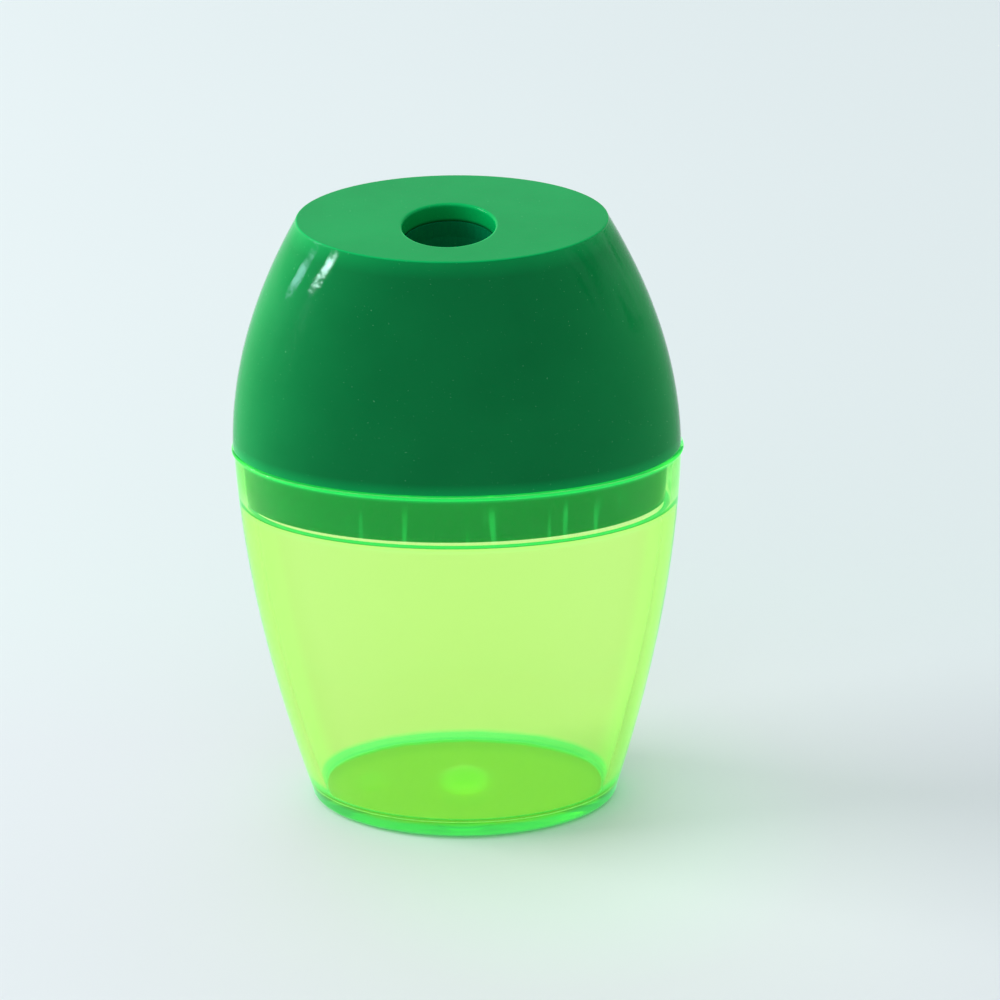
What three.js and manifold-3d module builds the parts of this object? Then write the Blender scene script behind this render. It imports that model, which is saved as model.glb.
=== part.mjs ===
// Pencil sharpener in a flat oval capsule: a cap with the pencil hole and the cutter inside it lifts
// off a cup that catches the shavings. Millimetres, +Z up, origin at the middle of the base.
import * as THREE from "three";
import { mergeVertices } from "three/addons/utils/BufferGeometryUtils.js";
import Module from "manifold-3d";

const wasm = await Module();
wasm.setup();

// Whole object. Every level section is an oval, given as [half width, half depth].
const HEIGHT = 62.6;
const JOINT_Z = 39.2;
const FACETS = 48;
const GAP = 0.3;

// Cup
const BASE_OVAL = [14.72, 8.45];
const RIM_OVAL = [20.72, 9.57];
const CUP_CURVE = 1.8;
const BEAD_OUT = 0.3;
const BEAD_HIGH = 0.42;
const CUP_WALL = 1.4;
const REBATE_WALL = 0.7;
const LEDGE_Z = 33.3;
const FLOOR = 1.4;
const FLOOR_FILLET = 0.3;
const BASE_FILLET = 0.9;
const DOME_RADIUS = 2.7;
const DOME_HIGH = 0.5;

// Cap
const CAP_OVAL = [20.78, 9.65];
const TOP_OVAL = [13.92, 8.68];
const CAP_LEAN = 0.09;
const CAP_WALL = 1.8;
const TOP_WALL = 1.45;
const TOP_FILLET = 0.2;
const SKIRT_Z = LEDGE_Z + 0.53;
const HOLE_RADIUS = 4.15;
const HOLE_AT = [-0.32, -1.45];
const RAIL_THICK = 1;
const RAIL_LONG = 18;
const HOOK = 1.6;

// Cutter: measured from the middle of its mouth, down the pencil's axis
const CUTTER_TOP = HEIGHT - TOP_WALL - GAP;
const CUTTER_LONG = 24;
const CUTTER_HALF = [8.4, 7.9];
const COLLAR_LONG = 1.5;
const COLLAR_BACK = 5.1;
const MOUTH_RADIUS = 4.05;
const TIP_RADIUS = 0.9;
const TIP_DEPTH = 22;
const SLOPE = Math.atan2(MOUTH_RADIUS - TIP_RADIUS, TIP_DEPTH - COLLAR_LONG);
const FACE_RISE = 0.9;
const THROAT_DEPTH = 1.3;
const THROAT_SLOPE = 0.22;

// Blade and its screw, in the plane that touches the conical bore
const BLADE_MID = 13.2;
const BLADE_LONG = 18.6;
const BLADE_EDGE_X = 0.5;
const BLADE_BACK_X = -7.2;
const BLADE_THICK = 0.55;
const BEVEL_WIDE = 1.3;
const SCREW_X = -4;
const SHANK_RADIUS = 1;
const SHANK_LONG = 4.2;
const HEAD_RADIUS = 2.1;
const HEAD_HIGH = 1.1;
const SLOT_WIDE = 0.5;
const SLOT_DEEP = 0.5;

const mix = (from, to, share) => from + (to - from) * share;
const grown = ([a, b], by) => [a + by, b + by];

function cupOval(z) {
  const share = Math.max(0, 1 - z / JOINT_Z) ** CUP_CURVE;
  return RIM_OVAL.map((rim, i) => mix(rim, BASE_OVAL[i], share));
}

function capOval(z) {
  const t = (z - JOINT_Z) / (HEIGHT - JOINT_Z);
  const share = mix(t * t, t, CAP_LEAN);
  return CAP_OVAL.map((rim, i) => mix(rim, TOP_OVAL[i], i === 0 ? share : t * t));
}

// Rows [half width, half depth, height] of a wall set in by `inset`, from z0 to z1.
function wallRows(ovalAt, z0, z1, count, inset = 0) {
  const rows = [];
  for (let i = 0; i <= count; i += 1) {
    const z = mix(z0, z1, i / count);
    rows.push([...grown(ovalAt(z), -inset), z]);
  }
  return rows;
}

// Rows of a rounded edge that ends a wall: side is 1 below the wall and -1 above it.
function filletRows(oval, z, radius, side, steps = 4) {
  const rows = [];
  for (let i = 0; i < steps; i += 1) {
    const turn = (i / steps) * (Math.PI / 2);
    const inset = radius * (1 - Math.sin(turn));
    rows.push([...grown(oval, -inset), z + side * radius * (1 - Math.cos(turn))]);
  }
  return side > 0 ? rows : rows.reverse();
}

// A three.js geometry as a solid that can be joined and cut.
function solid(source) {
  const bare = source.clone();
  bare.deleteAttribute("normal");
  bare.deleteAttribute("uv");
  const merged = mergeVertices(bare, 1e-4);
  const index = merged.index.array;
  const triVerts = [];
  for (let i = 0; i < index.length; i += 3) {
    const [a, b, c] = index.slice(i, i + 3);
    if (a !== b && b !== c && c !== a) triVerts.push(a, b, c);
  }
  return new wasm.Manifold(
    new wasm.Mesh({
      numProp: 3,
      vertProperties: merged.attributes.position.array,
      triVerts: new Uint32Array(triVerts),
    }),
  );
}

// A solid with oval level sections, closed flat at its first and last row.
function ovalSolid(rows) {
  const profile = rows.map(([a, , z]) => new THREE.Vector2(a, z));
  profile.unshift(new THREE.Vector2(0, rows[0][2]));
  profile.push(new THREE.Vector2(0, rows.at(-1)[2]));
  const turned = new THREE.LatheGeometry(profile, FACETS).rotateX(Math.PI / 2);
  const squash = [1, ...rows.map(([a, b]) => b / a), 1];
  const spot = turned.attributes.position;
  for (let i = 0; i < spot.count; i += 1) {
    spot.setY(i, spot.getY(i) * squash[i % squash.length]);
  }
  return solid(turned);
}

// A round solid on the Z axis from [radius, height] points, bottom first.
function turnedSolid(points, facets = 32) {
  const profile = points.map(([r, z]) => new THREE.Vector2(r, z));
  return solid(new THREE.LatheGeometry(profile, facets).rotateX(Math.PI / 2));
}

// A box from its lowest to its highest corner.
function boxSolid(low, high, turn = new THREE.Matrix4()) {
  const size = high.map((value, i) => value - low[i]);
  const middle = high.map((value, i) => (value + low[i]) / 2);
  const box = new THREE.BoxGeometry(...size).translate(...middle);
  return solid(box.applyMatrix4(turn));
}

function geometryOf(made) {
  const { numProp, vertProperties, triVerts } = made.getMesh();
  const geometry = new THREE.BufferGeometry();
  const spots = new THREE.InterleavedBuffer(vertProperties, numProp);
  geometry.setAttribute("position", new THREE.InterleavedBufferAttribute(spots, 3, 0));
  geometry.setIndex(new THREE.BufferAttribute(triVerts, 1));
  const flat = geometry.toNonIndexed();
  flat.computeVertexNormals();
  return flat;
}

function piece(name, made, color, roughness, metalness = 0) {
  const material = new THREE.MeshStandardMaterial({ color, roughness, metalness });
  const mesh = new THREE.Mesh(geometryOf(made), material);
  mesh.name = name;
  return mesh;
}

function cup() {
  const rim = cupOval(JOINT_Z);
  const beadZ = JOINT_Z - BEAD_HIGH;
  const foot = FLOOR + FLOOR_FILLET;
  const outside = ovalSolid([
    ...filletRows(cupOval(BASE_FILLET), 0, BASE_FILLET, 1),
    ...wallRows(cupOval, BASE_FILLET, beadZ, 9),
    [...grown(rim, BEAD_OUT), beadZ + 0.1],
    [...grown(rim, BEAD_OUT), JOINT_Z - 0.1],
    [...grown(rim, BEAD_OUT - 0.1), JOINT_Z],
  ]);
  const cavity = ovalSolid([
    ...filletRows(grown(cupOval(foot), -CUP_WALL), FLOOR, FLOOR_FILLET, 1, 3),
    ...wallRows(cupOval, foot, LEDGE_Z, 8, CUP_WALL),
    ...wallRows(cupOval, LEDGE_Z, JOINT_Z + 1, 3, REBATE_WALL),
  ]);
  const dome = new THREE.SphereGeometry(DOME_RADIUS, 20, 8).rotateX(Math.PI / 2);
  dome.scale(1, 1, DOME_HIGH / DOME_RADIUS).translate(0, 0, FLOOR - 0.02);
  return outside.subtract(cavity).add(solid(dome));
}

// Two rails down from the top hold the cutter's sides, and their hooks hold its collar from behind.
function rails(inside) {
  const [x, y] = HOLE_AT;
  const near = CUTTER_HALF[0] + GAP;
  const top = HEIGHT - TOP_WALL / 2;
  const hookY = y + COLLAR_BACK + GAP;
  let made;
  for (const side of [-1, 1]) {
    const span = (from, to) => [x + side * from, x + side * to].sort((p, q) => p - q);
    const [x0, x1] = span(near, near + RAIL_THICK);
    const [h0, h1] = span(near - HOOK, near + RAIL_THICK);
    const rail = boxSolid([x0, -RIM_OVAL[1], top - RAIL_LONG], [x1, hookY + 1, top]);
    const hook = boxSolid([h0, hookY, top - 4], [h1, hookY + 1, top]);
    made = made ? made.add(rail).add(hook) : rail.add(hook);
  }
  return made.intersect(inside);
}

function cap() {
  const low = JOINT_Z + GAP;
  const brow = HEIGHT - TOP_FILLET;
  const outside = ovalSolid([
    ...wallRows(capOval, low, brow, 8),
    ...filletRows(capOval(brow), HEIGHT, TOP_FILLET, -1, 3),
  ]);
  const skirt = ovalSolid(wallRows(cupOval, SKIRT_Z, low + 1, 3, REBATE_WALL + GAP));
  const cavity = ovalSolid([
    ...wallRows(cupOval, SKIRT_Z - 1, JOINT_Z, 3, CAP_WALL),
    ...wallRows(capOval, JOINT_Z + 1, HEIGHT - TOP_WALL, 7, CAP_WALL),
  ]);
  const hole = turnedSolid([
    [0, HEIGHT - TOP_WALL - 1],
    [HOLE_RADIUS, HEIGHT - TOP_WALL - 1],
    [HOLE_RADIUS, HEIGHT - 0.3],
    [HOLE_RADIUS + 0.3, HEIGHT],
    [HOLE_RADIUS + 0.3, HEIGHT + 1],
    [0, HEIGHT + 1],
  ]);
  const shell = outside.add(skirt).subtract(cavity);
  return shell.add(rails(outside)).subtract(hole.translate([...HOLE_AT, 0]));
}

// The plane that touches the bore behind the pencil: X across, Y out of the face, Z up the slope.
function bladeFrame() {
  const radius = MOUTH_RADIUS - (BLADE_MID - COLLAR_LONG) * Math.tan(SLOPE);
  const turn = new THREE.Matrix4().makeRotationX(-SLOPE);
  return turn.setPosition(0, radius, -BLADE_MID);
}

// The body's side view in depth and height, drawn across the whole width.
function wedgeSolid() {
  const face = (z) => MOUTH_RADIUS + FACE_RISE / Math.cos(SLOPE) + (z + COLLAR_LONG) * Math.tan(SLOPE);
  const side = new THREE.Shape([
    new THREE.Vector2(-RIM_OVAL[1], 0),
    new THREE.Vector2(-RIM_OVAL[1], -CUTTER_LONG),
    new THREE.Vector2(face(-CUTTER_LONG), -CUTTER_LONG),
    new THREE.Vector2(face(-COLLAR_LONG), -COLLAR_LONG),
    new THREE.Vector2(COLLAR_BACK, -COLLAR_LONG),
    new THREE.Vector2(COLLAR_BACK, 0),
  ]);
  const [wide, narrow] = CUTTER_HALF;
  const front = new THREE.Shape([
    new THREE.Vector2(-wide, 0),
    new THREE.Vector2(-narrow, -CUTTER_LONG),
    new THREE.Vector2(narrow, -CUTTER_LONG),
    new THREE.Vector2(wide, 0),
  ]);
  const across = new THREE.ExtrudeGeometry(side, { depth: 4 * wide, bevelEnabled: false });
  across.translate(0, 0, -2 * wide).rotateX(Math.PI / 2).rotateZ(Math.PI / 2);
  const through = new THREE.ExtrudeGeometry(front, { depth: 4 * wide, bevelEnabled: false });
  through.translate(0, 0, -2 * wide).rotateX(Math.PI / 2);
  return solid(across).intersect(solid(through));
}

function cutterBody() {
  const [x, y] = HOLE_AT;
  const lowest = CUTTER_TOP - CUTTER_LONG - 1;
  const room = ovalSolid([
    ...wallRows(cupOval, lowest, JOINT_Z, 2, CAP_WALL + GAP),
    ...wallRows(capOval, JOINT_Z + 1, HEIGHT - TOP_WALL, 7, CAP_WALL + GAP),
  ]);
  const bore = turnedSolid([
    [0, -CUTTER_LONG - 1],
    [TIP_RADIUS, -CUTTER_LONG - 1],
    [TIP_RADIUS, -TIP_DEPTH],
    [MOUTH_RADIUS, -COLLAR_LONG],
    [MOUTH_RADIUS, 1],
    [0, 1],
  ]);
  const plane = bladeFrame();
  const half = BLADE_LONG / 2 + GAP;
  const seat = boxSolid([BLADE_BACK_X - GAP, -GAP, -half], [BLADE_EDGE_X + GAP, 5, half], plane);
  const lean = new THREE.Matrix4().makeRotationZ(-THROAT_SLOPE);
  const throatSpan = [
    [BLADE_EDGE_X - 0.1, -THROAT_DEPTH, -half],
    [2 * CUTTER_HALF[0], 8, half],
  ];
  const throat = boxSolid(...throatSpan, plane.clone().multiply(lean));
  const screwHole = new THREE.CylinderGeometry(SHANK_RADIUS + GAP, SHANK_RADIUS + GAP, 12, 20);
  screwHole.translate(SCREW_X, 1, 0).applyMatrix4(plane);
  return wedgeSolid()
    .intersect(room.translate([-x, -y, -CUTTER_TOP]))
    .subtract(bore)
    .subtract(seat)
    .subtract(throat)
    .subtract(solid(screwHole));
}

// A flat steel strip with a screw hole, ground to an edge on its +X side.
function blade() {
  const half = BLADE_LONG / 2;
  const outline = new THREE.Shape([
    new THREE.Vector2(BLADE_BACK_X + 0.8, -half),
    new THREE.Vector2(BLADE_EDGE_X, -half),
    new THREE.Vector2(BLADE_EDGE_X, half),
    new THREE.Vector2(BLADE_BACK_X + 0.8, half),
    new THREE.Vector2(BLADE_BACK_X, half - 0.8),
    new THREE.Vector2(BLADE_BACK_X, -half + 0.8),
  ]);
  const hole = new THREE.Path().absarc(SCREW_X, 0, SHANK_RADIUS + GAP, 0, 2 * Math.PI);
  outline.holes.push(hole);
  const strip = new THREE.ExtrudeGeometry(outline, {
    depth: BLADE_THICK,
    bevelEnabled: false,
    curveSegments: 16,
  });
  strip.rotateX(Math.PI / 2).translate(0, BLADE_THICK, 0);
  const grind = new THREE.Matrix4().makeRotationZ(-Math.atan2(BLADE_THICK - 0.05, BEVEL_WIDE));
  grind.setPosition(BLADE_EDGE_X - BEVEL_WIDE, BLADE_THICK, 0);
  return solid(strip).subtract(boxSolid([0, 0, -half - 1], [3, 2, half + 1], grind));
}

// A slotted pan-head screw along the blade's normal.
function screw() {
  const body = turnedSolid(
    [
      [0, -SHANK_LONG],
      [SHANK_RADIUS * 0.6, -SHANK_LONG],
      [SHANK_RADIUS, -SHANK_LONG + 0.5],
      [SHANK_RADIUS, 0],
      [HEAD_RADIUS, 0],
      [HEAD_RADIUS, HEAD_HIGH * 0.5],
      [HEAD_RADIUS * 0.8, HEAD_HIGH * 0.9],
      [HEAD_RADIUS * 0.4, HEAD_HIGH],
      [0, HEAD_HIGH],
    ],
    24,
  );
  const slot = boxSolid([-SLOT_WIDE / 2, -3, HEAD_HIGH - SLOT_DEEP], [SLOT_WIDE / 2, 3, 3]);
  const upright = new THREE.Matrix4().makeRotationX(-Math.PI / 2);
  upright.setPosition(SCREW_X, BLADE_THICK + GAP, 0);
  return body.subtract(slot).transform(upright.elements);
}

const object = new THREE.Group();
const cutter = new THREE.Group();
cutter.position.set(...HOLE_AT, CUTTER_TOP);
const bladeSeat = new THREE.Group();
bladeSeat.applyMatrix4(bladeFrame());
bladeSeat.add(piece("blade", blade(), 0xc9cdd1, 0.22, 1));
bladeSeat.add(piece("blade_screw", screw(), 0xb7babd, 0.32, 1));
cutter.add(piece("sharpener_insert", cutterBody(), 0x0c5a30, 0.5), bladeSeat);
object.add(piece("container", cup(), 0xc3fb7f, 0.2));
object.add(piece("cap", cap(), 0x0d6e36, 0.25), cutter);

export default object;
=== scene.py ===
import math

import bmesh
import bpy
from mathutils import Matrix, Vector


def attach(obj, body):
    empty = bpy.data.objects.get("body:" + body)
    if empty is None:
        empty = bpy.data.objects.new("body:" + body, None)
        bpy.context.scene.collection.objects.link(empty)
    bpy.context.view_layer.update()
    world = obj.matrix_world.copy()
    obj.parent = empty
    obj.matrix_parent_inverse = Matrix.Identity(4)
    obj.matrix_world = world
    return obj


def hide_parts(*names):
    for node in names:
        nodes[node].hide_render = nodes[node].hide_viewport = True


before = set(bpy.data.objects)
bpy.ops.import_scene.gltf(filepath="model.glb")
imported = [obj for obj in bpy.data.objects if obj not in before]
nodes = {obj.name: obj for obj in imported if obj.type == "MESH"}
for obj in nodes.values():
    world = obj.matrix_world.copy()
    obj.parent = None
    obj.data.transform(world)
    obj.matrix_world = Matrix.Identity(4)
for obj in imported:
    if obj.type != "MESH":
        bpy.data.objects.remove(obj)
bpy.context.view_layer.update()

# ---------------------------------------------------------------- sizes, in millimetres
MM = 0.001
SEGMENTS = 288
HEIGHT = 62.6
JOINT_Z = 39.2
BASE_OVAL = (14.72, 8.45)
RIM_OVAL = (20.72, 9.57)
CUP_CURVE = 1.8
BEAD_OUT = 0.24
BEAD_HIGH = 0.42
BEAD_ROUND = 0.8
CUP_WALL = 1.4
REBATE_WALL = 0.7
LEDGE_Z = 33.3
FLOOR = 1.4
BASE_FILLET = 0.9
FLOOR_FILLET = 0.12
INNER_EDGE = 0.12
DOME_RADIUS = 2.7
DOME_HIGH = 0.45
MARK_AT = (-8.9, 0.0)
MARK_RADIUS = 1.9
MARK_HIGH = 0.1

CAP_OVAL = (20.78, 9.65)
TOP_OVAL = (13.92, 8.68)
CAP_LEAN = 0.09
CAP_WALL = 1.8
CAP_SHIFT = -0.06
CAP_GAP = 0.06
SKIRT_GAP = 0.18
SKIRT_SHIFT = -0.24
SKIRT_NARROW = 0.15
TOP_WALL = 1.45
TOP_FILLET = 0.2
CEILING_FILLET = 0.5
LOW_EDGE = 0.12
HOLE_RADIUS = 4.15
HOLE_FILLET = 0.28
HOLE_AT = (-0.32, -1.45)
COLLAR_LONG = 0.27
COLLAR_WIDE = 0.5
SKIRT_Z = LEDGE_Z + 0.53
RAIL_NEAR = 8.7
RAIL_THICK = 1.0
RAIL_LOW = 43.88
RAIL_BACK = 4.95
RAIL_SINK = 0.6
RAIL_INTO_TOP = 0.3
HOOK = 1.6
HOOK_THICK = 1.0
HOOK_LONG = 4.0


# ---------------------------------------------------------------- shapes
def mix(start, end, share):
    return start + (end - start) * share


def cup_oval(z):
    share = max(0.0, 1 - z / JOINT_Z) ** CUP_CURVE
    return [mix(rim, base, share) for rim, base in zip(RIM_OVAL, BASE_OVAL)]


def skirt_oval(z):
    half_width, half_depth = cup_oval(z)
    return [half_width - SKIRT_NARROW, half_depth]


def cap_oval(z):
    t = (z - JOINT_Z) / (HEIGHT - JOINT_Z)
    lean = mix(t * t, t, CAP_LEAN)
    return [mix(CAP_OVAL[0], TOP_OVAL[0], lean), mix(CAP_OVAL[1], TOP_OVAL[1], t * t)]


def row(oval, z, inset=0.0, x=0.0, y=0.0):
    """One level section: half width, half depth, height and middle."""
    return (oval[0] - inset, oval[1] - inset, z, x, y)


def wall(oval_at, z0, z1, count, inset=0.0, x=0.0, y=0.0):
    heights = [mix(z0, z1, i / count) for i in range(count + 1)]
    return [row(oval_at(z), z, inset, x, y) for z in heights]


def fillet(oval, z, radius, start, end, steps=8, inset=0.0, x=0.0, y=0.0):
    """Rows round a quarter circle of centre (inset, z), from angle start to end, 0 pointing out."""
    rows = []
    for i in range(steps + 1):
        turn = math.radians(mix(start, end, i / steps))
        out = radius * math.cos(turn)
        rows.append(row(oval, z + radius * math.sin(turn), inset - out, x, y))
    return rows


def between(first, last, shares):
    return [tuple(mix(p, q, share) for p, q in zip(first, last)) for share in shares]


def swept(name, rows, closed):
    """A closed surface through oval rows, which start and end at a point unless they're a loop."""
    bm = bmesh.new()
    angles = [2 * math.pi * i / SEGMENTS for i in range(SEGMENTS)]
    rings = []
    for a, b, z, x, y in rows:
        spots = [(x + a * math.cos(t), y + b * math.sin(t), z) for t in angles]
        if a < 1e-6:
            spots = [(x, y, z)]
        rings.append([bm.verts.new(Vector(p) * MM) for p in spots])
    pairs = list(zip(rings, rings[1:]))
    if closed:
        pairs.append((rings[-1], rings[0]))
    for low, high in pairs:
        for i in range(SEGMENTS):
            j = (i + 1) % SEGMENTS
            if len(low) == 1:
                bm.faces.new((low[0], high[j], high[i]))
            elif len(high) == 1:
                bm.faces.new((low[i], low[j], high[0]))
            else:
                bm.faces.new((low[i], low[j], high[j], high[i]))
    return finished(name, bm)


def finished(name, bm, smooth=True):
    bmesh.ops.recalc_face_normals(bm, faces=bm.faces[:])
    mesh = bpy.data.meshes.new(name)
    bm.to_mesh(mesh)
    bm.free()
    for face in mesh.polygons:
        face.use_smooth = smooth
    made = bpy.data.objects.new(name, mesh)
    bpy.context.collection.objects.link(made)
    return made


def bead_rows(rim):
    """The small round lip that stands out from the cup's rim."""
    half = BEAD_HIGH / 2
    rows = []
    for i in range(13):
        turn = math.radians(mix(-90, 90, i / 12))
        out = BEAD_OUT * math.cos(turn) ** BEAD_ROUND
        rows.append(row(rim, JOINT_Z - half + half * math.sin(turn), -out))
    return rows


def raise_marks(cup):
    """Lifts the dome and the round mark out of the cup's floor."""
    for vertex in cup.data.vertices:
        x, y, z = (value / MM for value in vertex.co)
        if abs(z - FLOOR) < 0.01:
            dome = max(0.0, 1 - math.hypot(x, y) / DOME_RADIUS)
            mark = max(0.0, 1 - math.hypot(x - MARK_AT[0], y - MARK_AT[1]) / MARK_RADIUS)
            lift = DOME_HIGH * math.sin(dome * math.pi / 2) + MARK_HIGH * min(1, 3 * mark)
            vertex.co.z += lift * MM


def make_cup():
    base = cup_oval(BASE_FILLET)
    rim = cup_oval(JOINT_Z)
    inner = cup_oval(FLOOR + FLOOR_FILLET)
    flat = row(base, 0, BASE_FILLET)
    rows = between((0, 0, 0, 0, 0), flat, (0, 0.3, 0.6, 0.85, 0.97))
    rows += fillet(base, BASE_FILLET, BASE_FILLET, -90, 0, 10, BASE_FILLET)
    rows += wall(cup_oval, BASE_FILLET + 0.1, JOINT_Z - BEAD_HIGH - 0.05, 60)
    rows += bead_rows(rim)
    rows += [row(rim, JOINT_Z, 0.1), row(rim, JOINT_Z, 0.6)]
    rows += fillet(rim, JOINT_Z - INNER_EDGE, INNER_EDGE, 90, 180, 4, REBATE_WALL - INNER_EDGE)
    rows += wall(cup_oval, JOINT_Z - 0.2, LEDGE_Z + 0.15, 10, REBATE_WALL)
    ledge = cup_oval(LEDGE_Z)
    rows += [row(ledge, LEDGE_Z + 0.03, REBATE_WALL + 0.03), row(ledge, LEDGE_Z, REBATE_WALL + 0.1)]
    rows += fillet(ledge, LEDGE_Z - INNER_EDGE, INNER_EDGE, 90, 180, 4, CUP_WALL - INNER_EDGE)
    rows += wall(cup_oval, LEDGE_Z - 0.2, FLOOR + FLOOR_FILLET + 0.05, 56, CUP_WALL)
    centre = CUP_WALL + FLOOR_FILLET
    rows += fillet(inner, FLOOR + FLOOR_FILLET, -FLOOR_FILLET, 0, 90, 8, centre)
    floor_edge = row(inner, FLOOR, centre)
    middle = (DOME_RADIUS * 1.05, DOME_RADIUS * 1.05, FLOOR, 0, 0)
    rows += between(floor_edge, middle, [0.03] + [i / 24 for i in range(2, 25)])
    rows += between(middle, (0, 0, FLOOR, 0, 0), [i / 14 for i in range(1, 15)])
    cup = swept("cup_shell", rows, closed=False)
    raise_marks(cup)
    return cup


def make_cap():
    low = JOINT_Z + CAP_GAP
    brow = HEIGHT - TOP_FILLET
    ceiling = HEIGHT - TOP_WALL
    top = cap_oval(brow)
    hole = (HOLE_RADIUS, HOLE_RADIUS)
    hx, hy = HOLE_AT
    s, k = CAP_SHIFT, SKIRT_SHIFT
    rows = fillet(cap_oval(low), low + LOW_EDGE, LOW_EDGE, -90, 0, 4, LOW_EDGE, s)
    rows += wall(cap_oval, low + 0.2, brow - 0.05, 60, 0, s)
    rows += fillet(top, brow, TOP_FILLET, 0, 90, 10, TOP_FILLET, s)
    crease = row(top, HEIGHT, TOP_FILLET + 0.08, s)
    lip = row(hole, HEIGHT, -HOLE_FILLET - 0.06, hx, hy)
    rows += between(crease, lip, [i / 16 for i in range(17)])
    rows += fillet(hole, HEIGHT - HOLE_FILLET, -HOLE_FILLET, -90, 0, 8, -HOLE_FILLET, hx, hy)
    rows += [row(hole, HEIGHT - HOLE_FILLET - 0.05, 0, hx, hy)]
    rows += wall(lambda z: hole, ceiling + 0.3, ceiling - COLLAR_LONG, 4, 0, hx, hy)
    rows += [row(hole, ceiling - COLLAR_LONG, -COLLAR_WIDE, hx, hy)]
    rows += [row(hole, ceiling - 0.02, -COLLAR_WIDE, hx, hy)]
    inner = cap_oval(ceiling - CEILING_FILLET)
    inset = CAP_WALL + CEILING_FILLET
    rows += between(rows[-1], row(inner, ceiling, inset, s), (0.05, 0.5, 0.95))
    rows += fillet(inner, ceiling - CEILING_FILLET, CEILING_FILLET, 90, 0, 5, inset, s)
    rows += wall(cap_oval, ceiling - 0.6, JOINT_Z + 0.5, 30, CAP_WALL, s)
    rows += wall(skirt_oval, JOINT_Z - 0.5, SKIRT_Z + 0.2, 8, CAP_WALL, k)
    end = skirt_oval(SKIRT_Z)
    outer = REBATE_WALL + SKIRT_GAP
    rows += [row(end, SKIRT_Z, CAP_WALL - 0.15, k), row(end, SKIRT_Z, outer + 0.15, k)]
    rows += wall(skirt_oval, SKIRT_Z + 0.15, JOINT_Z - 0.05, 10, outer, k)
    rows += [row(skirt_oval(JOINT_Z), low, outer - 0.05, k)]
    return swept("cap_shell", rows, closed=True)


def rail_ring(x0, x1, z):
    """A rail's section at one height, which sinks into the cap's curved front wall."""
    a, b = (half - CAP_WALL for half in cap_oval(z))
    ring = []
    for x in (x0, x1):
        share = min(1.0, abs(x) / a)
        ring.append((x, -b * math.sqrt(1 - share * share) - RAIL_SINK, z))
    return ring + [(x1, RAIL_BACK, z), (x0, RAIL_BACK, z)]


def add_rail(bm, x0, x1, top):
    rings = []
    for i in range(19):
        ring = rail_ring(x0, x1, mix(RAIL_LOW, top, i / 18))
        rings.append([bm.verts.new(Vector(p) * MM) for p in ring])
    bm.faces.new(rings[0])
    bm.faces.new(rings[-1])
    for lower, upper in zip(rings, rings[1:]):
        for i in range(4):
            j = (i + 1) % 4
            bm.faces.new((lower[i], lower[j], upper[j], upper[i]))


def add_hook(bm, x0, x1, top):
    spans = (sorted((x0, x1)), (RAIL_BACK - HOOK_THICK, RAIL_BACK), (top - HOOK_LONG, top))
    for vertex in bmesh.ops.create_cube(bm, size=1)["verts"]:
        spot = [mix(lo, hi, c + 0.5) for (lo, hi), c in zip(spans, vertex.co)]
        vertex.co = Vector(spot) * MM


def make_rails():
    """Two rails with hooks that hold the cutter, standing on the inside of the cap's front wall."""
    bm = bmesh.new()
    middle = HOLE_AT[0]
    top = HEIGHT - TOP_WALL + RAIL_INTO_TOP
    for side in (-1, 1):
        far = middle + side * (RAIL_NEAR + RAIL_THICK)
        add_rail(bm, middle + side * RAIL_NEAR, far, top)
        add_hook(bm, middle + side * (RAIL_NEAR - HOOK), far, top)
    rails = finished("cap_rails", bm, smooth=False)
    soften(rails, 0.12)
    return rails


def soften(piece, width, angle=30):
    """Rounds a piece's hard edges."""
    bevel = piece.modifiers.new("soft_edges", "BEVEL")
    bevel.width = width * MM
    bevel.segments = 3
    bevel.limit_method = "ANGLE"
    bevel.angle_limit = math.radians(angle)
    bevel.harden_normals = False


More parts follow.
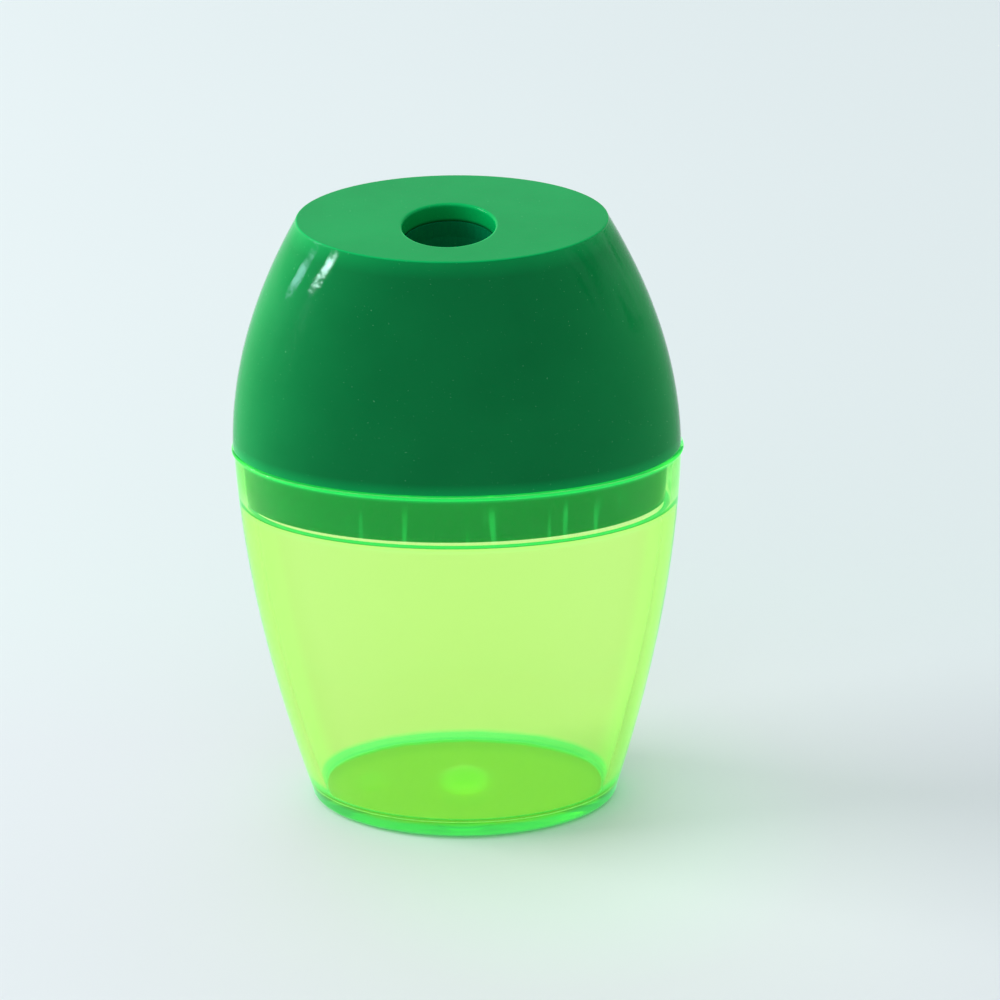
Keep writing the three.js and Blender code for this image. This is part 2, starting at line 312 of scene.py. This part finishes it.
# ---------------------------------------------------------------- materials
class Nodes:
    """A material's node tree, with short ways to add to it."""

    def __init__(self, name):
        self.material = bpy.data.materials.new(name)
        self.material.use_nodes = True
        self.tree = self.material.node_tree
        self.shader = self.tree.nodes["Principled BSDF"]
        self.output = self.tree.nodes["Material Output"]
        coords = self.tree.nodes.new("ShaderNodeTexCoord")
        self.place = coords.outputs["Object"]

    def set(self, **values):
        for name, value in values.items():
            self.shader.inputs[name.replace("_", " ")].default_value = value

    def link(self, source, target):
        self.tree.links.new(source, target)

    def node(self, kind, **settings):
        made = self.tree.nodes.new("ShaderNode" + kind)
        for name, value in settings.items():
            setattr(made, name, value)
        return made

    def math(self, operation, first, second=None):
        made = self.node("Math", operation=operation)
        for socket, value in zip(made.inputs, (first, second)):
            if isinstance(value, (int, float)):
                socket.default_value = value
            elif value is not None:
                self.link(value, socket)
        return made.outputs[0]

    def noise(self, scale, detail=3.0, stretch=(1, 1, 1), roughness=0.5):
        """Noise whose features are about 1 / scale metres across."""
        mapping = self.node("Mapping")
        mapping.inputs["Scale"].default_value = stretch
        self.link(self.place, mapping.inputs["Vector"])
        made = self.node("TexNoise")
        made.inputs["Scale"].default_value = scale
        made.inputs["Detail"].default_value = detail
        made.inputs["Roughness"].default_value = roughness
        self.link(mapping.outputs[0], made.inputs["Vector"])
        return made.outputs["Fac"]

    def ramp(self, value, stops):
        """Colours or grey levels along a value, from (position, colour) stops."""
        made = self.node("ValToRGB")
        stops = [(p, (c, c, c) if isinstance(c, (int, float)) else c) for p, c in stops]
        ends = made.color_ramp.elements
        while len(ends) < len(stops):
            ends.new(0.5)
        for element, (position, colour) in zip(ends, stops):
            element.position = position
            element.color = (*colour, 1)
        self.link(value, made.inputs[0])
        return made.outputs[0]

    def mixed(self, share, first, second, blend="MIX"):
        """Two colours mixed by a share from 0 to 1, or the second one blended onto the first."""
        made = self.node("Mix", data_type="RGBA", blend_type=blend)
        for index, value in ((0, share), (6, first), (7, second)):
            if isinstance(value, tuple):
                made.inputs[index].default_value = (*value, 1)
            else:
                self.link(value, made.inputs[index])
        return made.outputs[2]

    def added(self, share, first, second):
        return self.mixed(share, first, second, "ADD")

    def span(self, value, low, high, to_low=0.0, to_high=1.0):
        made = self.node("MapRange")
        for socket, number in zip(made.inputs[1:5], (low, high, to_low, to_high)):
            socket.default_value = number
        self.link(value, made.inputs[0])
        return made.outputs[0]

    def product(self, first, *others):
        for other in others:
            first = self.math("MULTIPLY", first, other)
        return first

    def parts(self, vector):
        """A vector's X, Y and Z."""
        made = self.node("SeparateXYZ")
        self.link(vector, made.inputs[0])
        return made.outputs

    def normal(self):
        return self.node("NewGeometry").outputs["Normal"]

    def bump(self, height, strength, distance, below=None):
        made = self.node("Bump")
        made.inputs["Strength"].default_value = strength
        made.inputs["Distance"].default_value = distance
        self.link(height, made.inputs["Height"])
        if below is not None:
            self.link(below, made.inputs["Normal"])
        return made.outputs[0]


# Painted glow up the cup's height, as (height, colour): emission that stands in for the light the
# fluorescent plastic gives off and gathers. The foot and the rim are greener.
WALL_GLOW = (0.012, 0.075, 0.002)
BAND_GLOW = (0.002, 0.05, 0.004)
FOOT_GLOW = (0.04, 0.28, 0.085)
FLOOR_GLOW = (0.048, 0.135, 0.03)
DOME_GLOW = (0.02, 0.2, 0.035)
CORNER_GLOW = (0.008, 0.1, 0.025)
LEDGE_GLOW = (0.004, 0.28, 0.06)
LEDGE_FACE_GLOW = (0.02, 0.24, 0.12)
SIDE_GLOW = (0.02, 0.14, 0.05)
STREAK_GLOW = (0.004, 0.1, 0.02)
RIM_GLOW = (0.004, 0.345, 0.062)
FOOT_Z = 1.5
UPPER_GLOW = [
    (LEDGE_Z - 0.3, WALL_GLOW),
    (LEDGE_Z - 0.1, LEDGE_GLOW),
    (LEDGE_Z + 0.05, LEDGE_GLOW),
    (LEDGE_Z + 0.3, BAND_GLOW),
    (JOINT_Z - 0.7, BAND_GLOW),
    (JOINT_Z - 0.45, RIM_GLOW),
]
OUTER_GLOW = [(0.0, FOOT_GLOW), (FOOT_Z, FOOT_GLOW), (FOOT_Z + 0.6, WALL_GLOW)] + UPPER_GLOW
INNER_GLOW = [
    (0.0, FLOOR_GLOW),
    (FLOOR + 0.02, FLOOR_GLOW),
    (FLOOR + 0.3, WALL_GLOW),
] + UPPER_GLOW
# Painted shade: a dark tint with little red, on the outside of the foot and in the inside corner.
PAINTED_FOOT_SHADE = (0.07, 0.78, 0.66)
BAND_TINT = (0.32, 0.72, 0.24)
STRIP_TINT = (0.97, 0.98, 0.66)
# Painted shade that darkens the cup's right side.
PAINTED_RIGHT_SHADE = (0.9, 0.95, 0.82)


def from_spot(n, place, spot):
    """Level distance from a spot, for a place that's split into X, Y and Z."""
    squares = [
        n.math("POWER", n.math("SUBTRACT", place[axis], middle * MM), 2)
        for axis, middle in zip("XY", spot)
    ]
    return n.math("SQRT", n.math("ADD", *squares))


def floor_reach(n, place):
    """How far out a place is on the cup's floor: 0 in the middle and 1 at the wall."""
    squares = [
        n.math("POWER", n.math("DIVIDE", place[axis], (half - CUP_WALL) * MM), 2)
        for axis, half in zip("XY", BASE_OVAL)
    ]
    return n.math("ADD", *squares)


def level_glow(n, place, outward):
    """The painted glow that changes with height, on the cup's outside and inside."""
    level = n.span(place["Z"], 0, HEIGHT * MM)
    outer, inner = (
        n.ramp(level, [(z / HEIGHT, colour) for z, colour in stops])
        for stops in (OUTER_GLOW, INNER_GLOW)
    )
    return n.mixed(outward, inner, outer)


def marks_lit(n, place, glow):
    """Painted glow on the dome and the round mark in the floor makes them lighter."""
    on_floor = n.span(place["Z"], (FLOOR - 0.3) * MM, (FLOOR - 0.1) * MM)
    for spot, radius, share in (((0, 0), DOME_RADIUS, 1.0), (MARK_AT, MARK_RADIUS, 0.3)):
        away = from_spot(n, place, spot)
        raised = n.span(away, radius * MM, (radius - 0.9) * MM, 0, share)
        glow = n.added(n.product(raised, on_floor), glow, DOME_GLOW)
    return glow


def corner_mask(n, place, reach):
    """The corner between the floor and the wall inside the cup."""
    return n.product(
        n.span(reach, 0.78, 0.84),
        n.span(reach, 1.14, 1.06),
        n.span(place["Z"], (FLOOR + 0.25) * MM, (FLOOR + 0.1) * MM),
        n.span(place["Z"], (FLOOR + 0.01) * MM, (FLOOR + 0.03) * MM),
    )


def ledge_mask(n, place, facing):
    """The top of the ledge that runs round inside the rim."""
    away = n.math("ABSOLUTE", n.math("SUBTRACT", place["Z"], LEDGE_Z * MM))
    return n.product(n.span(away, 0.2 * MM, 0.1 * MM), n.span(facing["Z"], 0.1, 0.3))


def cup_colours(n):
    """The cup's colour, with painted shade at the foot, in the inside corner and on the right side,
    and its painted glow.
    """
    place = n.parts(n.place)
    facing = n.parts(n.normal())
    sideways = n.math("ABSOLUTE", facing["X"])
    reach = floor_reach(n, place)
    outward = n.span(reach, 1.06, 1.14)
    corner = corner_mask(n, place, reach)
    glow = marks_lit(n, place, level_glow(n, place, outward))
    glow = n.mixed(corner, glow, CORNER_GLOW)
    # Painted glow on the top of the ledge.
    glow = n.added(ledge_mask(n, place, facing), glow, LEDGE_FACE_GLOW)
    # Painted glow on the oval's ends, standing in for glowing edges.
    glow = n.added(n.span(sideways, 0.7, 1.0), glow, SIDE_GLOW)
    over_ledge = n.span(place["Z"], (LEDGE_Z + 0.5) * MM, (LEDGE_Z + 0.8) * MM)
    under_rim = n.span(place["Z"], (JOINT_Z - 1.2) * MM, (JOINT_Z - 2.5) * MM)
    # Painted glow in thin noise streaks between the ledge and the rim.
    glow_streaks = n.span(n.noise(900, 1, (1, 0.3, 0.07)), 0.62, 0.68)
    glow = n.added(n.product(glow_streaks, over_ledge, under_rim), glow, STREAK_GLOW)
    # Painted shade on the outside of the foot and, at 0.8, in the inside corner.
    foot = n.span(place["Z"], (FOOT_Z + 0.5) * MM, FOOT_Z * MM)
    colour = n.mixed(n.product(outward, foot), (1, 1, 1), PAINTED_FOOT_SHADE)
    colour = n.mixed(n.product(corner, 0.8), colour, PAINTED_FOOT_SHADE)
    patches = n.span(n.noise(420, 2), 0.35, 0.65, 0.5, 1.0)
    band_ends = n.product(over_ledge, n.span(sideways, 0.68, 0.85))
    colour = n.mixed(n.product(band_ends, patches), colour, BAND_TINT)
    strip_low = n.span(place["Z"], (LEDGE_Z - 0.2) * MM, (LEDGE_Z - 0.05) * MM)
    strip_high = n.span(place["Z"], (LEDGE_Z + 0.7) * MM, (LEDGE_Z + 0.5) * MM)
    colour = n.mixed(n.product(strip_low, strip_high), colour, STRIP_TINT)
    # Painted shade on the cup's right side.
    colour = n.mixed(n.span(facing["X"], 0.55, 0.95), colour, PAINTED_RIGHT_SHADE, "MULTIPLY")
    return colour, glow


def cup_plastic():
    n = Nodes("cup_plastic")
    n.set(
        Transmission_Weight=1.0,
        IOR=1.49,
        Emission_Strength=1.0,
        Specular_Tint=(0.2, 0.45, 0.35, 1),
    )
    colour, glow = cup_colours(n)
    n.link(colour, n.shader.inputs["Base Color"])
    n.link(glow, n.shader.inputs["Emission Color"])
    scuffs = n.noise(900, 4)
    n.link(n.span(scuffs, 0.35, 0.8, 0.0, 0.09), n.shader.inputs["Roughness"])
    waves = n.bump(n.noise(140, 2), 0.15, 0.0002)
    n.link(waves, n.shader.inputs["Normal"])
    tint = n.node("VolumeAbsorption")
    tint.inputs["Color"].default_value = (0.72, 0.845, 0.02, 1)
    tint.inputs["Density"].default_value = 480
    n.link(tint.outputs[0], n.output.inputs["Volume"])
    return n.material


# Painted sheen on the cap's ends.
PAINTED_END_SHEEN = (0.009, 0, 0.003)
SPECK = (0.05, 0.12, 0.07)


def hole_and_lip(n, away, height, upward, y):
    """Masks for the painted light on the hole's wall and the painted highlight on the lip on the
    hole's near side.
    """
    hole = n.span(away, (HOLE_RADIUS + 0.12) * MM, (HOLE_RADIUS + 0.02) * MM, 0, 1.2)
    hole = n.product(hole, n.span(height, (HEIGHT - 1.6) * MM, (HEIGHT - 1.4) * MM))
    lip = n.product(
        n.span(away, (HOLE_RADIUS + 0.32) * MM, (HOLE_RADIUS + 0.24) * MM, 0, 0.9),
        n.span(upward, 0.2, 0.4),
        n.span(y, -2.5 * MM, -4.0 * MM),
    )
    return hole, lip


def painted_lighting(n, colour):
    """Painted light that makes the plastic paler: on the top, the ends, the hole's wall and both
    edges, with painted highlights along the top's rounded edge and the hole's near lip.
    """
    facing = n.parts(n.normal())
    place = n.parts(n.place)
    upward = facing["Z"]
    height = place["Z"]
    away = from_spot(n, place, HOLE_AT)
    outside = n.span(away, (HOLE_RADIUS + 0.3) * MM, (HOLE_RADIUS + 0.5) * MM)
    ends = n.math("POWER", n.math("ABSOLUTE", facing["X"]), 2.0)
    ends = n.product(n.span(ends, 0.04, 0.8), outside)
    # Painted sheen on the ends.
    colour = n.added(ends, colour, PAINTED_END_SHEEN)
    # Painted light on the top face, near the joint and near the top crease, and painted highlights
    # along the top's rounded edge and the hole's near lip.
    top_face = n.span(upward, 0.5, 0.95, 0, 0.38)
    joint = n.span(height, (JOINT_Z + 1.3) * MM, JOINT_Z * MM, 0, 0.95)
    crease = n.span(height, (HEIGHT - 1.7) * MM, (HEIGHT - 0.1) * MM, 0, 0.6)
    edge = n.product(n.span(upward, 0.5, 0.7), n.span(upward, 0.998, 0.95, 0, 0.7))
    hole, lip = hole_and_lip(n, away, height, upward, place["Y"])
    total = 1.0
    for part in (top_face, n.product(ends, 1.15), joint, crease, hole, edge, lip):
        total = n.math("ADD", part, total)
    made = n.node("VectorMath", operation="SCALE")
    n.link(colour, made.inputs[0])
    n.link(total, made.inputs["Scale"])
    return made.outputs[0]


def cap_plastic(name, dark, light, roughness, through=False):
    n = Nodes(name)
    n.set(Specular_IOR_Level=0.11, Specular_Tint=(0.5, 0.95, 0.9, 1))
    colour = n.ramp(n.noise(120, 3), [(0.3, dark), (0.7, light)])
    # With through, the cap gets painted light and painted highlights.
    if through:
        colour = painted_lighting(n, colour)
    specks = n.span(n.noise(4600, 1), 0.75, 0.78)
    colour = n.added(specks, colour, SPECK)
    n.link(colour, n.shader.inputs["Base Color"])
    scuffs = n.noise(700, 5, roughness=0.65)
    low, high = roughness
    n.link(n.span(scuffs, 0.4, 0.75, low, high), n.shader.inputs["Roughness"])
    waves = n.bump(n.noise(520, 3), 0.16, 0.0001)
    grain = n.bump(n.noise(2600, 3), 0.3, 0.00003, waves)
    n.link(grain, n.shader.inputs["Normal"])
    return n.material


def steel(name, colour, low, high, stretch):
    n = Nodes(name)
    n.set(Metallic=1.0)
    brushed = n.noise(900, 4, stretch)
    dark = tuple(0.8 * c for c in colour)
    n.link(n.ramp(brushed, [(0.3, dark), (0.7, colour)]), n.shader.inputs["Base Color"])
    n.link(n.span(brushed, 0.3, 0.7, low, high), n.shader.inputs["Roughness"])
    n.link(n.bump(brushed, 0.2, 0.00002), n.shader.inputs["Normal"])
    return n.material


FLOOR_CLOUD = [(0.3, (0.80, 0.842, 0.862)), (0.7, (0.82, 0.856, 0.876))]
PAINTED_FLOOR_SHADE = (1, 0.935, 0.985)


def floor_card():
    """The pale ground, with painted shade that makes it a little less green round the object."""
    n = Nodes("floor_card")
    n.set(Roughness=0.7, Specular_IOR_Level=0.2)
    cloud = n.ramp(n.noise(6, 2), FLOOR_CLOUD)
    place = n.parts(n.place)
    away = from_spot(n, place, (10, -6))
    # Painted shade in a ring round the object.
    near = n.product(
        n.span(away, 14 * MM, 26 * MM),
        n.span(away, 90 * MM, 35 * MM),
        n.span(place["Y"], 35 * MM, 8 * MM),
    )
    n.link(n.mixed(near, cloud, PAINTED_FLOOR_SHADE, "MULTIPLY"), n.shader.inputs["Base Color"])
    return n.material


def dress(piece, material):
    piece.data.materials.clear()
    piece.data.materials.append(material)


# ---------------------------------------------------------------- the object
cup = make_cup()
dress(cup, cup_plastic())
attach(cup, "container")
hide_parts("container")

green = cap_plastic(
    "cap_plastic", (0.0, 0.178, 0.041), (0.001, 0.2, 0.047), (0.03, 0.14), through=True
)
cap = make_cap()
rails = make_rails()
for piece in (cap, rails):
    dress(piece, green)
    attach(piece, "cap")
    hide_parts("cap")

insert_green = cap_plastic("insert_plastic", (0.0, 0.2, 0.07), (0.0, 0.24, 0.085), (0.3, 0.5))
dress(nodes["sharpener_insert"], insert_green)
blade_steel = steel("blade_steel", (0.62, 0.63, 0.65), 0.18, 0.34, (1, 1, 12))
dress(nodes["blade"], blade_steel)
screw_steel = steel("screw_steel", (0.58, 0.58, 0.57), 0.25, 0.4, (1, 1, 1))
dress(nodes["blade_screw"], screw_steel)
soften(nodes["sharpener_insert"], 0.08, 35)
soften(nodes["blade"], 0.04, 35)
soften(nodes["blade_screw"], 0.08, 35)


# ---------------------------------------------------------------- the studio
def make_floor():
    bm = bmesh.new()
    bmesh.ops.create_grid(bm, x_segments=4, y_segments=4, size=2)
    bmesh.ops.translate(bm, verts=bm.verts[:], vec=(0, 0, -0.00004))
    floor = finished("floor", bm)
    floor.data.materials.append(floor_card())


def make_light(name, spot, aim, size, power, colour=(1, 1, 1), hidden=()):
    """An area light. The rays in `hidden` don't see it."""
    data = bpy.data.lights.new(name, "AREA")
    data.shape = "RECTANGLE"
    data.size, data.size_y = size
    data.energy = power
    data.color = colour
    lamp = bpy.data.objects.new(name, data)
    lamp.location = spot
    toward = Vector(aim) - Vector(spot)
    lamp.rotation_mode = "QUATERNION"
    lamp.rotation_quaternion = toward.to_track_quat("-Z", "Y")
    for rays in ("camera", *hidden):
        setattr(lamp, "visible_" + rays, False)
    bpy.context.collection.objects.link(lamp)


SKY_COLOUR = (0.92, 1.0, 1.0, 1)
SKY_LEVEL = 0.45
SKY_LEAST = 0.05
SKY_SLOPE = (-0.36, 0.32, 0.5)


def make_world():
    world = bpy.data.worlds.new("studio")
    bpy.context.scene.world = world
    world.use_nodes = True
    tree = world.node_tree
    coords = tree.nodes.new("ShaderNodeTexCoord")
    slope = tree.nodes.new("ShaderNodeVectorMath")
    slope.operation = "DOT_PRODUCT"
    slope.inputs[1].default_value = SKY_SLOPE
    tree.links.new(coords.outputs["Generated"], slope.inputs[0])
    level = tree.nodes.new("ShaderNodeMath")
    level.inputs[1].default_value = SKY_LEVEL
    tree.links.new(slope.outputs["Value"], level.inputs[0])
    least = tree.nodes.new("ShaderNodeMath")
    least.operation = "MAXIMUM"
    least.inputs[1].default_value = SKY_LEAST
    tree.links.new(level.outputs[0], least.inputs[0])
    background = tree.nodes["Background"]
    background.inputs[0].default_value = SKY_COLOUR
    tree.links.new(least.outputs[0], background.inputs[1])


CAMERA_AT = (0.009041, -0.287763, 0.207353)
CAMERA_TURN = (31.1973, 1.03, -0.85)
CAMERA_LENS = 129.5


def make_camera():
    """Elevation, azimuth and roll in degrees, with azimuth 0 looking along +Y."""
    elevation, azimuth, roll = (math.radians(value) for value in CAMERA_TURN)
    data = bpy.data.cameras.new("camera")
    data.sensor_width = 36
    data.lens = CAMERA_LENS
    data.clip_start = 0.01
    camera = bpy.data.objects.new("camera", data)
    back = Vector((
        math.sin(azimuth) * math.cos(elevation),
        -math.cos(azimuth) * math.cos(elevation),
        math.sin(elevation),
    ))
    right = Vector((math.cos(azimuth), math.sin(azimuth), 0))
    up = back.cross(right)
    turned_right = math.cos(roll) * right + math.sin(roll) * up
    turned_up = -math.sin(roll) * right + math.cos(roll) * up
    turn = Matrix((turned_right, turned_up, back)).transposed()
    camera.matrix_world = Matrix.Translation(CAMERA_AT) @ turn.to_4x4()
    bpy.context.collection.objects.link(camera)
    bpy.context.scene.camera = camera


def make_card(name, spot, aim, size, strength, stops, scale, stretch):
    """A patchy glowing card that only shows in the plastic's gloss."""
    n = Nodes(name)
    glow = n.node("Emission")
    glow.inputs["Strength"].default_value = strength
    n.link(n.ramp(n.noise(scale, 2, stretch), stops), glow.inputs["Color"])
    n.link(glow.outputs[0], n.output.inputs["Surface"])
    bm = bmesh.new()
    bmesh.ops.create_grid(bm, x_segments=1, y_segments=1, size=0.5)
    bmesh.ops.scale(bm, verts=bm.verts[:], vec=(*size, 1))
    card = finished(name, bm, smooth=False)
    card.location = spot
    card.rotation_mode = "QUATERNION"
    card.rotation_quaternion = (Vector(aim) - Vector(spot)).to_track_quat("-Z", "Y")
    card.data.materials.append(n.material)
    for rays in ("camera", "diffuse", "transmission", "shadow"):
        setattr(card, "visible_" + rays, False)


# A spot on the cap's upper left, and how patchy each card is.
CROWN = (-0.012, -0.006, 0.06)
SOFT = [(0.3, (0.2, 0.25, 0.3)), (0.65, (0.75, 0.85, 1))]
BROKEN = [(0.4, (0.02, 0.02, 0.01)), (0.47, (0.3, 0.3, 0.25)), (0.58, (1, 0.95, 0.95))]
PATCHY = [(0.4, (0, 0.02, 0)), (0.48, (0.4, 0.45, 0.45)), (0.75, (0.8, 0.85, 0.9))]

make_floor()
make_world()
make_light("key", (-0.6, 0.02, 0.42), (0, 0, 0.03), (0.3, 0.3), 2.4)
make_card("window_near", (-0.374, -0.175, 0.03), CROWN, (0.045, 0.014), 300, BROKEN, 520, (1, 2, 1))
make_card("window_far", (-0.412, -0.03, 0.042), CROWN, (0.062, 0.026), 44, SOFT, 90, (1, 1, 1))
make_card(
    "window_right", (0.32, 0, 0.078), (0.01, 0, 0.055), (0.4, 0.15), 1.7, PATCHY, 13, (1, 1.6, 1)
)
make_light(
    "foot_glow", (0.012, -0.01, 0.022), (0.012, -0.01, 0), (0.065, 0.046), 0.003, (0.6, 1.0, 0.56),
    hidden=("transmission", "glossy"),
)
make_camera()
bpy.context.scene.view_settings.view_transform = "Standard"
